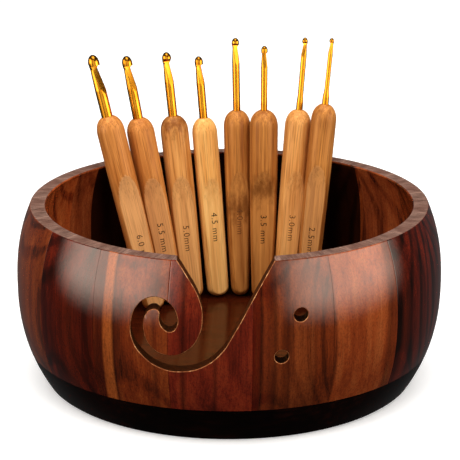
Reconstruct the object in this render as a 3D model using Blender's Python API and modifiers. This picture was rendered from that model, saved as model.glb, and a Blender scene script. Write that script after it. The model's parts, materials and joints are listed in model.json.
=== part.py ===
"""Yarn bowl: a turned bowl of glued staves with a sawn yarn guide, and eight crochet hooks in it.

Metres, +Z up. The origin is the centre of the underside, and the yarn guide faces -Y.
Azimuths are measured from -Y towards +X.
"""

import math
from dataclasses import dataclass

import bmesh
import bpy
from mathutils import Matrix, Vector

MM = 0.001
GAP = 0.3 * MM  # clearance between glued or resting pieces
SHARP_ANGLE = 35  # degrees
MERGE_DISTANCE = 0.01 * MM
CUTTER_MARGIN = 2.0 * MM

# Bowl
BOWL_RADIUS = 107.5 * MM  # outside, at the widest
BOWL_HEIGHT = 91.0 * MM
WAIST_HEIGHT = 51.8 * MM  # where the bowl is widest
RIM_INSET = 7.5 * MM  # how far the rim comes in from the widest
PROFILE_POWER = 2.35  # higher is flatter at the waist and rounder at the ends
WALL = 8.0 * MM
BASE_HEIGHT = 18.6 * MM  # shoulder on which the staves stand
FLOOR_HEIGHT = 14.0 * MM  # floor inside
FOOT_EASE = 1.2 * MM  # rounding under the base
RIM_EASE = 0.6 * MM
STAVE_COUNT = 17
STEPS_PER_STAVE = 5
WALL_ROWS = 8

# Yarn guide, in millimetres: x to the right, and the drop below the rim. It opens above the rim.
GUIDE_TONGUE = [
    (-34.6, -14.2), (-27.2, -4.1), (-19.7, 6.0), (-13.6, 16.6), (-12.2, 24.8), (-13.7, 33.0), (-18.8, 40.5),
    (-27.5, 44.1), (-35.9, 40.9), (-39.6, 32.5), (-38.6, 25.6), (-35.2, 22.5), (-32.4, 23.2),
]
GUIDE_EYE = [(-32.3, 27.0), (-30.6, 31.0), (-27.2, 32.5), (-24.1, 29.6), (-24.3, 23.4), (-27.4, 19.1)]
GUIDE_CHANNEL = [
    (-31.8, 17.0), (-37.0, 17.5), (-42.3, 21.6), (-45.4, 29.5), (-44.9, 38.5), (-40.2, 45.6),
    (-31.7, 50.8), (-21.5, 51.6), (-11.5, 48.3), (-3.6, 41.5), (2.2, 32.2), (12.9, 12.9), (23.4, -4.1),
    (33.9, -21.1),
]
GUIDE_EYE_X = -28.6 * MM  # a seam between two staves runs through the eye
GUIDE_CURVE_STEPS = 3
CUT_INSIDE = 32.0 * MM  # how far the guide's cutter reaches in from the widest point

# Yarn holes: x and the drop below the rim
YARN_HOLES = [(33.0 * MM, 24.9 * MM), (24.2 * MM, 44.3 * MM)]
YARN_HOLE_RADIUS = 3.3 * MM
HOLE_SIDES = 20

# Hook handles
DOME_LENGTH = 9.5 * MM
DOME_POWER = 2.2  # above 2, squarer than an ellipse
END_LENGTH = 5.0 * MM
BELLY_DROP = 15.0 * MM  # from the handle's top down to where its taper begins
TANG_DEPTH = 24.0 * MM
THUMB_DROP = 33.0 * MM  # from the handle's top down to where the thumb flat begins
THUMB_OFFSET = 4.4 * MM  # from the axis to the thumb flat
THUMB_RUNOUT = 52.0 * MM  # radius of the thumb flat's upper end
HANDLE_SIDES = 16
BORE_EASE = 1.2 * MM  # from the bore to where the dome begins
SHAFT_SIDES = 16
RIM_CLEARANCE = 0.5 * MM  # between a leaning handle and the rim

# Metal hooks, as shares of the hook's size; drops are from the tip
HEAD_DOME = 0.72
LIP_DROP = 1.00
NECK_DROP = 1.32
NECK_RADIUS = 0.33
NECK_SETBACK = 0.17  # the neck is behind the axis, in line with the shaft's back
NECK_FLAT = -0.02  # how far in front of the axis the ramp's flat is at the neck
TAPER_DROP = 3.2  # where the neck has widened to the full shaft
RAMP_DROP = 3.6  # where the ramp's flat runs out
LIP_UNDERCUT = 0.45  # slope of the throat's top, up towards the lip
SHANK_MINIMUM = 3.6 * MM  # thinner hooks thicken to this where they enter the handle
SHANK_TOP = 7.8 * MM
SHANK_BOTTOM = 3.0 * MM


@dataclass
class Hook:
    """One crochet hook. Arcs are measured from the rear of the bowl towards +X."""

    size: float  # diameter of the metal
    rim_arc: float  # where its axis passes the rim, along the circle it leans on
    rim_inset: float  # how far short of touching the rim it stands
    foot_arc: float  # where it stands, along its foot circle
    foot_inset: float  # how far that circle is inside the rim's inner edge
    handle: float  # length of the handle
    shaft: float  # length of bare metal
    belly: float  # widest diameter of the handle
    end: float  # diameter at the handle's lower end
    thumb_turn: float  # degrees from facing -Y, towards +X
    throat_turn: float


HOOK_TABLE = [
    # size, rim_arc, rim_inset, foot_arc, foot_inset, handle, shaft, belly, end, thumb, throat
    (6.0, -64.4, 0.0, -42.8, 28.0, 108.3, 32.8, 14.9, 12.0, 20, 50),
    (5.5, -46.9, 0.0, -31.0, 24.0, 103.5, 33.3, 14.9, 12.0, 12, 45),
    (5.0, -28.6, 0.0, -20.3, 20.0, 101.6, 34.0, 15.1, 12.2, 8, 40),
    (4.5, -12.3, 0.0, -5.9, 18.5, 99.2, 33.0, 13.7, 11.6, 18, 40),
    (4.0, 4.6, 0.0, 6.2, 17.5, 102.8, 38.8, 14.5, 9.4, 6, 25),
    (3.5, 18.8, 3.5, 18.5, 21.0, 104.2, 34.3, 15.3, 11.6, 0, 15),
    (3.0, 36.8, 0.0, 30.4, 22.5, 105.6, 38.5, 14.2, 11.0, 10, -30),
    (2.5, 51.5, 0.0, 43.7, 20.5, 110.1, 35.1, 13.6, 11.0, -8, -40),
]
HOOKS = [Hook(*(value * MM for value in row[:9]), *row[9:]) for row in HOOK_TABLE]

STAVE_COLOURS = [
    (0.20, 0.060, 0.028), (0.24, 0.035, 0.018), (0.17, 0.045, 0.020), (0.28, 0.090, 0.035),
    (0.12, 0.030, 0.016), (0.19, 0.040, 0.020), (0.15, 0.028, 0.016), (0.22, 0.060, 0.026),
]


def new_collection(name):
    collection = bpy.data.collections.new(name)
    bpy.context.scene.collection.children.link(collection)
    return collection


def new_material(name, colour, roughness, metallic=0.0):
    material = bpy.data.materials.new(name)
    material.use_nodes = True
    shader = material.node_tree.nodes["Principled BSDF"]
    shader.inputs["Base Color"].default_value = (*colour, 1.0)
    shader.inputs["Roughness"].default_value = roughness
    shader.inputs["Metallic"].default_value = metallic
    return material


def new_object(name, data, collection, material=None):
    obj = bpy.data.objects.new(name, data)
    collection.objects.link(obj)
    if material:
        data.materials.append(material)
    return obj


def smooth(mesh):
    mesh.shade_smooth()
    mesh.set_sharp_from_angle(angle=math.radians(SHARP_ANGLE))


def polar(radius, azimuth, height):
    return Vector((radius * math.sin(azimuth), -radius * math.cos(azimuth), height))


def arc(centre, radius, start, end, steps):
    """Points on an arc, from start to end in degrees, in a profile's plane."""
    angles = [math.radians(start + (end - start) * step / steps) for step in range(steps + 1)]
    return [(centre[0] + radius * math.cos(a), centre[1] + radius * math.sin(a)) for a in angles]


def turned(name, profile, sides, collection, material):
    """A solid turned about local Z from a profile of (radius, height) points, from the top down."""
    mesh = bpy.data.meshes.new(name)
    edges = [(i, i + 1) for i in range(len(profile) - 1)]
    mesh.from_pydata([(radius, 0.0, height) for radius, height in profile], edges, [])
    obj = new_object(name, mesh, collection, material)
    screw = obj.modifiers.new("Turn", "SCREW")
    screw.steps = sides
    screw.render_steps = sides
    screw.use_merge_vertices = True
    screw.merge_threshold = MERGE_DISTANCE
    screw.use_smooth_shade = True
    return obj


def evaluated_mesh(obj):
    bpy.context.view_layer.update()
    depsgraph = bpy.context.evaluated_depsgraph_get()
    mesh = bpy.data.meshes.new_from_object(obj.evaluated_get(depsgraph))
    mesh.name = obj.name
    return mesh


def extruded(name, splines, depth, matrix, collection):
    """A closed mesh extruded both ways from filled splines drawn in the curve's own plane."""
    curve = bpy.data.curves.new(name, "CURVE")
    curve.dimensions = "2D"
    curve.fill_mode = "BOTH"
    curve.extrude = depth / 2
    for kind, points in splines:
        spline = curve.splines.new(kind)
        spline.use_cyclic_u = True
        if kind == "POLY":
            spline.points.add(len(points) - 1)
            for point, (x, y) in zip(spline.points, points):
                point.co = (x, y, 0.0, 1.0)
            continue
        spline.resolution_u = GUIDE_CURVE_STEPS
        spline.bezier_points.add(len(points) - 1)
        for point, (x, y) in zip(spline.bezier_points, points):
            point.co = (x, y, 0.0)
            point.handle_left_type = "AUTO"
            point.handle_right_type = "AUTO"
    outline = new_object(name, curve, collection)
    outline.matrix_world = matrix
    mesh = evaluated_mesh(outline)
    bm = bmesh.new()
    bm.from_mesh(mesh)
    bmesh.ops.remove_doubles(bm, verts=bm.verts, dist=MERGE_DISTANCE)
    bmesh.ops.recalc_face_normals(bm, faces=bm.faces)
    bm.to_mesh(mesh)
    bm.free()
    solid = new_object(name + "_solid", mesh, collection)
    solid.matrix_world = outline.matrix_world.copy()
    bpy.data.objects.remove(outline)
    return as_cutter(solid)


def as_cutter(obj):
    obj.hide_render = True
    obj.display_type = "WIRE"
    return obj


def cut(obj, cutter):
    boolean = obj.modifiers.new("Cut " + cutter.name, "BOOLEAN")
    boolean.operation = "DIFFERENCE"
    boolean.object = cutter


# Bowl


def outer_radius(height):
    rise = abs(height - WAIST_HEIGHT) / (BOWL_HEIGHT - WAIST_HEIGHT)
    return BOWL_RADIUS - RIM_INSET * rise**PROFILE_POWER


def inner_radius(height):
    return outer_radius(height) - WALL


def between(low, high, steps):
    return [low + (high - low) * step / steps for step in range(steps + 1)]


def wall_outline():
    """Section through the wall: up the outside, over the eased rim and down the inside."""
    foot = BASE_HEIGHT + GAP
    outside = [(outer_radius(z), z) for z in between(foot, BOWL_HEIGHT - RIM_EASE, WALL_ROWS)]
    rim_edges = (outer_radius(BOWL_HEIGHT) - RIM_EASE, inner_radius(BOWL_HEIGHT) + RIM_EASE)
    rim = [(radius, BOWL_HEIGHT) for radius in rim_edges]
    inside = [(inner_radius(z), z) for z in between(BOWL_HEIGHT - RIM_EASE, foot, WALL_ROWS)]
    return outside + rim + inside


def base_profile():
    recess = BASE_HEIGHT - FLOOR_HEIGHT
    floor_edge = inner_radius(BASE_HEIGHT) - recess
    fillet = arc((floor_edge, BASE_HEIGHT), recess, -90, 0, 4)
    outside = [(outer_radius(z), z) for z in between(BASE_HEIGHT, FOOT_EASE, 3)]
    foot = [(outer_radius(0.0) - FOOT_EASE, 0.0), (0.0, 0.0)]
    return [(0.0, FLOOR_HEIGHT), *fillet, *outside, *foot]


def make_base(collection):
    material = new_material("base_wood", (0.018, 0.010, 0.008), 0.35)
    sides = STAVE_COUNT * STEPS_PER_STAVE
    base = turned("base", base_profile(), sides, collection, material)
    base.rotation_euler.z = first_seam() - math.pi / 2
    return base


def first_seam():
    return math.asin(GUIDE_EYE_X / BOWL_RADIUS) - math.tau / STAVE_COUNT


def make_stave(number, collection):
    """One stave: the wall's section swept between two seams, less half the glue gap at each."""
    pitch = math.tau / STAVE_COUNT
    half_gap = GAP / 2 / BOWL_RADIUS
    start = first_seam() + number * pitch + half_gap
    name = f"stave_{number + 1:02d}"
    mesh = bpy.data.meshes.new(name)
    bm = bmesh.new()
    corners = [bm.verts.new(polar(radius, start, height)) for radius, height in wall_outline()]
    section = bm.faces.new(corners)
    bmesh.ops.spin(
        bm,
        geom=[*corners, *section.edges, section],
        axis=(0.0, 0.0, 1.0),
        cent=(0.0, 0.0, 0.0),
        angle=pitch - 2 * half_gap,
        steps=STEPS_PER_STAVE,
    )
    bmesh.ops.recalc_face_normals(bm, faces=bm.faces)
    bm.to_mesh(mesh)
    bm.free()
    smooth(mesh)
    material = new_material(name + "_wood", STAVE_COLOURS[number % len(STAVE_COLOURS)], 0.25)
    return new_object(name, mesh, collection, material)


def guide_cutter(collection):
    outline = GUIDE_TONGUE + GUIDE_EYE + GUIDE_CHANNEL
    points = [(x * MM, BOWL_HEIGHT - drop * MM) for x, drop in outline]
    upright = Matrix.Translation((0.0, -BOWL_RADIUS, 0.0)) @ Matrix.Rotation(math.pi / 2, 4, "X")
    return extruded("yarn_guide", [("BEZIER", points)], 2 * CUT_INSIDE, upright, collection)


def hole_cutter(number, collection):
    x, drop = YARN_HOLES[number]
    bpy.ops.mesh.primitive_cylinder_add(
        vertices=HOLE_SIDES,
        radius=YARN_HOLE_RADIUS,
        depth=2 * CUT_INSIDE,
        location=(x, -BOWL_RADIUS, BOWL_HEIGHT - drop),
        rotation=(math.pi / 2, 0.0, 0.0),
    )
    cutter = bpy.context.object
    cutter.name = f"yarn_hole_{number + 1}"
    for home in cutter.users_collection:
        home.objects.unlink(cutter)
    collection.objects.link(cutter)
    return as_cutter(cutter)


def span_in_x(points):
    return min(p.x for p in points), max(p.x for p in points)


def meets(stave, cutter):
    """Whether a front stave and a cutter share some width."""
    points = [vertex.co for vertex in stave.data.vertices]
    if max(p.y for p in points) > 0.0:
        return False
    low, high = span_in_x(points)
    left, right = span_in_x([cutter.matrix_world @ vertex.co for vertex in cutter.data.vertices])
    return left < high and right > low


def islands(mesh):
    """The separate bodies of a mesh, each as a list of vertex numbers."""
    neighbours = {vertex.index: [] for vertex in mesh.vertices}
    for edge in mesh.edges:
        a, b = edge.vertices
        neighbours[a].append(b)
        neighbours[b].append(a)
    found = []
    waiting = set(neighbours)
    while waiting:
        body = {waiting.pop()}
        frontier = list(body)
        while frontier:
            fresh = waiting.intersection(neighbours[frontier.pop()])
            waiting -= fresh
            body |= fresh
            frontier += fresh
        found.append(sorted(body))
    return found


def keep_only(mesh, body):
    copy = mesh.copy()
    bm = bmesh.new()
    bm.from_mesh(copy)
    keep = set(body)
    bmesh.ops.delete(bm, geom=[v for v in bm.verts if v.index not in keep], context="VERTS")
    bm.to_mesh(copy)
    bm.free()
    smooth(copy)
    return copy


def split_tongue(stave, collection, tongue):
    """The guide frees the tongue from the staves that it was sawn from; each part is its own piece."""
    mesh = evaluated_mesh(stave)
    bodies = sorted(islands(mesh), key=lambda body: min(mesh.vertices[i].co.z for i in body))
    stave.modifiers.clear()
    stave.data = keep_only(mesh, bodies[0])
    for body in bodies[1:]:
        piece = new_object(f"tongue_{len(tongue) + 1}", keep_only(mesh, body), collection)
        tongue.append(piece)


def make_wall(collection, cutters):
    guide = guide_cutter(cutters)
    holes = [hole_cutter(number, cutters) for number in range(len(YARN_HOLES))]
    bpy.context.view_layer.update()
    tongue = []
    for number in range(STAVE_COUNT):
        stave = make_stave(number, collection)
        for cutter in [guide, *holes]:
            if meets(stave, cutter):
                cut(stave, cutter)
        if stave.modifiers:
            split_tongue(stave, collection, tongue)


# Hooks


def lean_point(hook):
    """Where the hook's axis passes the height of the rim."""
    radius = inner_radius(BOWL_HEIGHT) - hook.belly / 2 - RIM_CLEARANCE - hook.rim_inset
    return polar(radius, math.pi - hook.rim_arc / radius, BOWL_HEIGHT)


def stance(hook):
    """Local +Z runs up the hook's axis from its foot, and local -Y faces the front of the bowl."""
    radius = inner_radius(BOWL_HEIGHT) - hook.foot_inset
    foot = polar(radius, math.pi - hook.foot_arc / radius, FLOOR_HEIGHT)
    up = (lean_point(hook) - foot).normalized()
    side = Vector((0.0, 1.0, 0.0)).cross(up).normalized()
    back = up.cross(side)
    tilt = up.angle(Vector((0.0, 0.0, 1.0)))
    end_reach = math.hypot(END_LENGTH * math.cos(tilt), hook.end / 2 * math.sin(tilt))
    lift = (GAP + end_reach) / math.cos(tilt) - END_LENGTH
    origin = foot + up * lift
    return Matrix.Translation(origin) @ Matrix((side, back, up)).transposed().to_4x4()


def handle_radius(hook, height):
    """Radius of the handle at a height above its lower end."""
    drop = hook.handle - height
    taper = max(0.0, (drop - BELLY_DROP) / (hook.handle - BELLY_DROP))
    return (hook.belly - (hook.belly - hook.end) * taper**2) / 2


def dome_height(share):
    """Height of the handle's dome above its foot, at a share of its radius."""
    return DOME_LENGTH * max(0.0, 1.0 - share**DOME_POWER) ** (1.0 / DOME_POWER)


def handle_profile(hook):
    """From the bottom of the bore up, over the dome and down to the lower end."""
    bore = bore_radius(hook)
    belly = hook.belly / 2
    bottom = hook.handle - TANG_DEPTH - GAP
    dome_foot = hook.handle - DOME_LENGTH
    profile = [(0.0, bottom), (bore, bottom), (bore, dome_foot + dome_height(bore / belly))]
    for angle in between(math.asin((bore + BORE_EASE) / belly), math.pi / 2, 5):
        profile.append((belly * math.sin(angle), dome_foot + dome_height(math.sin(angle))))
    for height in between(hook.handle - BELLY_DROP, END_LENGTH, 6):
        profile.append((handle_radius(hook, height), height))
    for angle in between(math.pi / 2, 0.0, 4)[1:]:
        radius = handle_radius(hook, END_LENGTH) * math.sin(angle)
        profile.append((radius, END_LENGTH * (1.0 - math.cos(angle))))
    return profile


def bore_radius(hook):
    return max(hook.size, SHANK_MINIMUM) / 2 + GAP


def thumb_cutter(hook, name, matrix, collection):
    """Cuts the thumb flat: level along the lower handle, with a round run-out at its upper end."""
    outside = hook.belly / 2 + CUTTER_MARGIN
    depth = hook.belly / 2 - THUMB_OFFSET
    run = math.sqrt(THUMB_RUNOUT**2 - (THUMB_RUNOUT - depth) ** 2)
    level_top = hook.handle - THUMB_DROP - run
    end_angle = math.degrees(math.acos(1.0 - (outside - THUMB_OFFSET) / THUMB_RUNOUT))
    centre = (THUMB_OFFSET + THUMB_RUNOUT, level_top)
    run_out = arc(centre, THUMB_RUNOUT, 180, 180 - end_angle, 8)
    points = [(outside, -END_LENGTH), (THUMB_OFFSET, -END_LENGTH), *run_out]
    # The outline's x points towards local -Y and its y runs up the handle.
    face = Matrix(((0.0, 0.0, 1.0), (-1.0, 0.0, 0.0), (0.0, 1.0, 0.0))).to_4x4()
    face = Matrix.Rotation(math.radians(hook.thumb_turn), 4, "Z") @ face
    return extruded(name + "_thumb", [("POLY", points)], 2 * outside, matrix @ face, collection)


def make_handle(hook, name, axis, collection, cutters, material):
    handle = turned(name + "_handle", handle_profile(hook), HANDLE_SIDES, collection, material)
    handle.parent = axis
    cut(handle, thumb_cutter(hook, name, axis.matrix_world, cutters))


def shaft_sections(hook):
    """Rings down the metal hook, as (height, radius, set back from the axis, slope of the ring)."""
    size = hook.size
    radius = size / 2
    sections = []
    for angle in between(0.0, math.pi / 2, 4):
        height = hook.shaft - size * HEAD_DOME * (1.0 - math.cos(angle))
        sections.append((height, radius * math.sin(angle), 0.0, 0.0))
    sections.append((hook.shaft - size * LIP_DROP, radius, 0.0, 0.0))
    neck = (size * NECK_RADIUS, size * NECK_SETBACK)
    sections.append((hook.shaft - size * NECK_DROP, *neck, LIP_UNDERCUT))
    for share in between(0.0, 1.0, 3)[1:]:
        height = hook.shaft - size * (NECK_DROP + (TAPER_DROP - NECK_DROP) * share)
        width = NECK_RADIUS + (0.5 - NECK_RADIUS) * share
        sections.append((height, size * width, size * NECK_SETBACK * (1.0 - share), 0.0))
    sections.append((hook.shaft - size * RAMP_DROP, radius, 0.0, 0.0))
    tang = max(radius, SHANK_MINIMUM / 2)
    if tang > radius:
        sections += [(SHANK_TOP, radius, 0.0, 0.0), (SHANK_BOTTOM, tang, 0.0, 0.0)]
    return [*sections, (-TANG_DEPTH, tang, 0.0, 0.0)]


def ramp_flat(hook, height):
    """How far in front of the axis the ramp's flat is at a height."""
    drop = (hook.shaft - height) / hook.size
    if drop <= LIP_DROP:
        return hook.size
    share = max(0.0, (drop - NECK_DROP) / (RAMP_DROP - NECK_DROP))
    return hook.size * (NECK_FLAT + (0.5 - NECK_FLAT) * share)


def shaft_ring(hook, height, radius, setback, slope):
    turn = math.radians(hook.throat_turn)
    ahead = Vector((math.sin(turn), -math.cos(turn), 0.0))
    flat = ramp_flat(hook, height)
    ring = []
    for side in range(SHAFT_SIDES):
        point = polar(radius, turn + math.tau * side / SHAFT_SIDES, 0.0) - ahead * setback
        reach = point.dot(ahead)
        point += ahead * (min(reach, flat) - reach)
        point.z = height + slope * max(0.0, point.dot(ahead) + setback)
        ring.append(point)
    return ring


def make_shaft(hook, name, axis, collection, material):
    """A mesh through the rings, from the tip to the end of the tang."""
    rings = [shaft_ring(hook, *section) for section in shaft_sections(hook)]
    bm = bmesh.new()
    rows = [[bm.verts.new(point) for point in ring] for ring in rings]
    for upper, lower in zip(rows, rows[1:]):
        for side in range(SHAFT_SIDES):
            after = (side + 1) % SHAFT_SIDES
            bm.faces.new((upper[side], upper[after], lower[after], lower[side]))
    bm.faces.new(rows[-1])
    bmesh.ops.remove_doubles(bm, verts=bm.verts, dist=MERGE_DISTANCE)
    bmesh.ops.recalc_face_normals(bm, faces=bm.faces)
    mesh = bpy.data.meshes.new(name + "_shaft")
    bm.to_mesh(mesh)
    bm.free()
    smooth(mesh)
    shaft = new_object(name + "_shaft", mesh, collection, material)
    shaft.parent = axis
    shaft.location.z = hook.handle


def make_hook(hook, collection, cutters, bamboo, gold):
    name = f"hook_{hook.size / MM:.1f}".replace(".", "_")
    axis = bpy.data.objects.new(name + "_axis", None)
    collection.objects.link(axis)
    axis.matrix_world = stance(hook)
    bpy.context.view_layer.update()
    make_handle(hook, name, axis, collection, cutters, bamboo)
    make_shaft(hook, name, axis, collection, gold)


def main():
    for obj in list(bpy.data.objects):
        bpy.data.objects.remove(obj, do_unlink=True)
    collection = new_collection("yarn_bowl")
    cutters = new_collection("cutters")
    make_base(collection)
    make_wall(collection, cutters)
    bamboo = new_material("bamboo", (0.50, 0.24, 0.08), 0.45)
    gold = new_material("gold_anodised", (0.85, 0.42, 0.03), 0.25, 1.0)
    for hook in HOOKS:
        make_hook(hook, collection, cutters, bamboo, gold)


main()
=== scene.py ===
"""Looks for the yarn bowl with eight crochet hooks.

Metres, +Z up, in the CAD frame: the origin is the centre of the bowl's underside and the yarn guide
faces -Y. Azimuths are measured from -Y towards +X. The shapes repeat the CAD's sizes more finely.
"""

import json
import math

import bmesh
import bpy
from mathutils import Matrix, Vector

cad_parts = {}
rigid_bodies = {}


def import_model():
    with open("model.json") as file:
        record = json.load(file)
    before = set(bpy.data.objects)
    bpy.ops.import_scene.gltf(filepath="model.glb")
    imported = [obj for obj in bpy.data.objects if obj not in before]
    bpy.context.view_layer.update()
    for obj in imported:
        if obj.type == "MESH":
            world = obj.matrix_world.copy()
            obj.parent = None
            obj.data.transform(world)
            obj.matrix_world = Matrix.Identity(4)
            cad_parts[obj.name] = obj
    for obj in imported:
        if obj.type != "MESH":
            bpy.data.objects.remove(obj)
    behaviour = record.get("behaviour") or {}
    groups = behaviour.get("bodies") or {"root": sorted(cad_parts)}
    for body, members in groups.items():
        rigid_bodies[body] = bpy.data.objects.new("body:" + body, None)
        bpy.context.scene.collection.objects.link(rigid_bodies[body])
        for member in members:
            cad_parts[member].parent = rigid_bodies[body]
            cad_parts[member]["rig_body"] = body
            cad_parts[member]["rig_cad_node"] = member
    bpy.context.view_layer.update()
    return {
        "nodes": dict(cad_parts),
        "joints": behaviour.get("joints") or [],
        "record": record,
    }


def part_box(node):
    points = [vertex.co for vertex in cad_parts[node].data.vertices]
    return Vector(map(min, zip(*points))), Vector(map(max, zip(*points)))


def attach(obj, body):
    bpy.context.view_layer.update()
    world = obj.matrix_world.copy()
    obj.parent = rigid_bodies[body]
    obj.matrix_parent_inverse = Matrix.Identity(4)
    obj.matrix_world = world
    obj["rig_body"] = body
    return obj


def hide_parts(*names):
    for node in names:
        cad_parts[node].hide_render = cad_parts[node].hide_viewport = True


MM = 0.001
MERGE_DISTANCE = 0.001 * MM

# Bowl
BOWL_RADIUS = 107.5 * MM
WAIST_HEIGHT = 51.8 * MM
RIM_INSET = 7.5 * MM
PROFILE_POWER = 2.35
WALL = 8.0 * MM
FLOOR_HEIGHT = 14.0 * MM
STAVE_COUNT = 17
STAVE_STEPS = 12
WALL_ROWS = 34
RIM_EASE = 0.7 * MM
FOOT_EASE = 1.6 * MM
SEAM = 0.06 * MM  # half of the joint line between two staves
SEAM_EASE = 0.04 * MM  # how far the stave's faces dip at the joint line
SEAM_REACH = 0.25 * MM  # how far from the joint line they start to dip
BASE_SIDES = 136
STAVE_HALF_WIDTH = math.pi / STAVE_COUNT * BOWL_RADIUS
RIM_FACE_DEPTH = 0.2 * MM  # faces this near the rim's top that look up are end grain
RIM_FACE_UP = 0.95  # the least upward share of such a face's normal
FLOOR_TONE = (84.0 * MM, 88.0 * MM)  # radii between which the floor's tone gives way to the base's
# Painted shade on the inner faces of the rear staves, behind the hooks
INNER_SHADE_EDGE = 0.02  # width of the painted shade's soft edge, as a share of half a stave
INNER_SHADE_MARGIN = 1.5 * MM  # how far below the rim the painted shade starts
INNER_SHADE_DEPTH = 0.2  # how much of the wall's thickness the painted shade reaches into
INNER_SHADE_STRENGTH = 0.93

# Yarn guide, in millimetres: x to the right, and the drop below the rim. It opens above the rim.
GUIDE_TONGUE = [
    (-34.6, -14.2), (-27.2, -4.1), (-19.7, 6.0), (-13.6, 16.6), (-12.2, 24.8), (-13.7, 33.0), (-18.8, 40.5),
    (-27.5, 44.1), (-35.9, 40.9), (-39.6, 32.5), (-38.6, 25.6), (-35.2, 22.5), (-32.4, 23.2),
]
GUIDE_EYE = [(-32.3, 27.0), (-30.6, 31.0), (-27.2, 32.5), (-24.1, 29.6), (-24.3, 23.4), (-27.4, 19.1)]
GUIDE_CHANNEL = [
    (-31.8, 17.0), (-37.0, 17.5), (-42.3, 21.6), (-45.4, 29.5), (-44.9, 38.5), (-40.2, 45.6),
    (-31.7, 50.8), (-21.5, 51.6), (-11.5, 48.3), (-3.6, 41.5), (2.2, 32.2), (12.9, 12.9), (23.4, -4.1),
    (33.9, -21.1),
]
GUIDE_CURVE_STEPS = 10
YARN_HOLES = [(33.0 * MM, 24.9 * MM), (24.2 * MM, 44.3 * MM)]
YARN_HOLE_RADIUS = 3.3 * MM
HOLE_SIDES = 40
CHAMFER = 0.30 * MM  # sanded edge of every sawn cut
FLARE = 0.5 * MM  # how far the chamfer's plane goes on past the surface
CUT_REACH = 34.0 * MM

# Hooks
CLEARANCE = 0.3 * MM
DOME_LENGTH = 9.5 * MM
DOME_POWER = 2.2  # above 2, squarer than an ellipse
END_LENGTH = 5.0 * MM
BELLY_DROP = 15.0 * MM
TANG_DEPTH = 24.0 * MM
THUMB_DROP = 33.0 * MM
THUMB_OFFSET = 4.4 * MM
THUMB_RUNOUT = 52.0 * MM
THUMB_BLEND = 0.10 * MM  # softness of the thumb flat's edges
THUMB_MARGIN = 0.08 * MM  # points this near the thumb flat count as on it, paler by wear and painted light
BORE_EASE = 0.35 * MM
HANDLE_SIDES = 80
HANDLE_ROWS = 96
SHAFT_SIDES = 40
SHANK_MINIMUM = 3.6 * MM
SHANK_TOP = 7.8 * MM
SHANK_BOTTOM = 3.0 * MM
TANG_SLICE = 1.0 * MM  # the end of the tang that shows where the hook's axis is
# Metal hooks, as shares of the hook's size; drops are from the tip
HEAD_DOME = 0.72
LIP_DROP = 1.00
LIP_RADIUS = 0.485
NECK_DROP = 1.32
NECK_RADIUS = 0.33
NECK_SETBACK = 0.17
NECK_FLAT = -0.02  # how far in front of the axis the flat is at the neck
TAPER_DROP = 3.2  # where the neck has widened to the full shaft
RAMP_DROP = 3.6  # where the flat runs out
RAMP_BLEND = 0.03  # softness of the flat's edges
THROAT_TILT = 0.55  # rise of the throat's rings for each metre towards the front
# Size marks
MARK_HEIGHT = 4.7 * MM
MARK_DEPTH = 0.02 * MM
MARK_SPACING = 1.15
# Studio
STUDIO_HALF = 4.0
STUDIO_DROP = 0.05 * MM  # how far the studio's floor is below the base
MIDDLE = Vector((0.0, 0.0, 0.06))  # what the lights and cards face
CAMERA_PLACE = (0.0, -0.9527, 0.3733)
CAMERA_TILT = 17.38  # degrees below level
CAMERA_LENS = 154.2  # on a sensor 36 wide
CAMERA_SHIFT = 0.0017

HOOKS = {
    # CAD name: handle, shaft, belly, end (mm), thumb turn, throat turn (degrees)
    "6.0": (108.3, 32.8, 14.9, 12.0, 20, 50),
    "5.5": (103.5, 33.3, 14.9, 12.0, 12, 45),
    "5.0": (101.6, 34.0, 15.1, 12.2, 8, 40),
    "4.5": (99.2, 33.0, 13.7, 11.6, 18, 40),
    "4.0": (102.8, 38.8, 14.5, 9.4, 6, 25),
    "3.5": (104.2, 34.3, 15.3, 11.6, 0, 15),
    "3.0": (105.6, 38.5, 14.2, 11.0, 10, -30),
    "2.5": (110.1, 35.1, 13.6, 11.0, -8, -40),
}
HOOK_MARKS = {
    # mark, how far below the handle's top its middle is (mm), how dark it is printed
    "6.0": ("6.0 mm", 74.0, 0.85),
    "5.5": ("5.5 mm", 66.2, 0.95),
    "5.0": ("5.0mm", 67.5, 0.70),
    "4.5": ("4.5 mm", 60.3, 1.00),
    "4.0": ("4.0mm", 61.0, 0.45),
    "3.5": ("3.5 mm", 65.0, 0.95),
    "3.0": ("3.0mm", 64.3, 0.45),
    "2.5": ("2.5mm", 74.0, 0.85),
}

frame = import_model()
RIM_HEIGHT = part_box("stave_08")[1].z
SHOULDER_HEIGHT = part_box("base")[1].z


# Node trees


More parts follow.
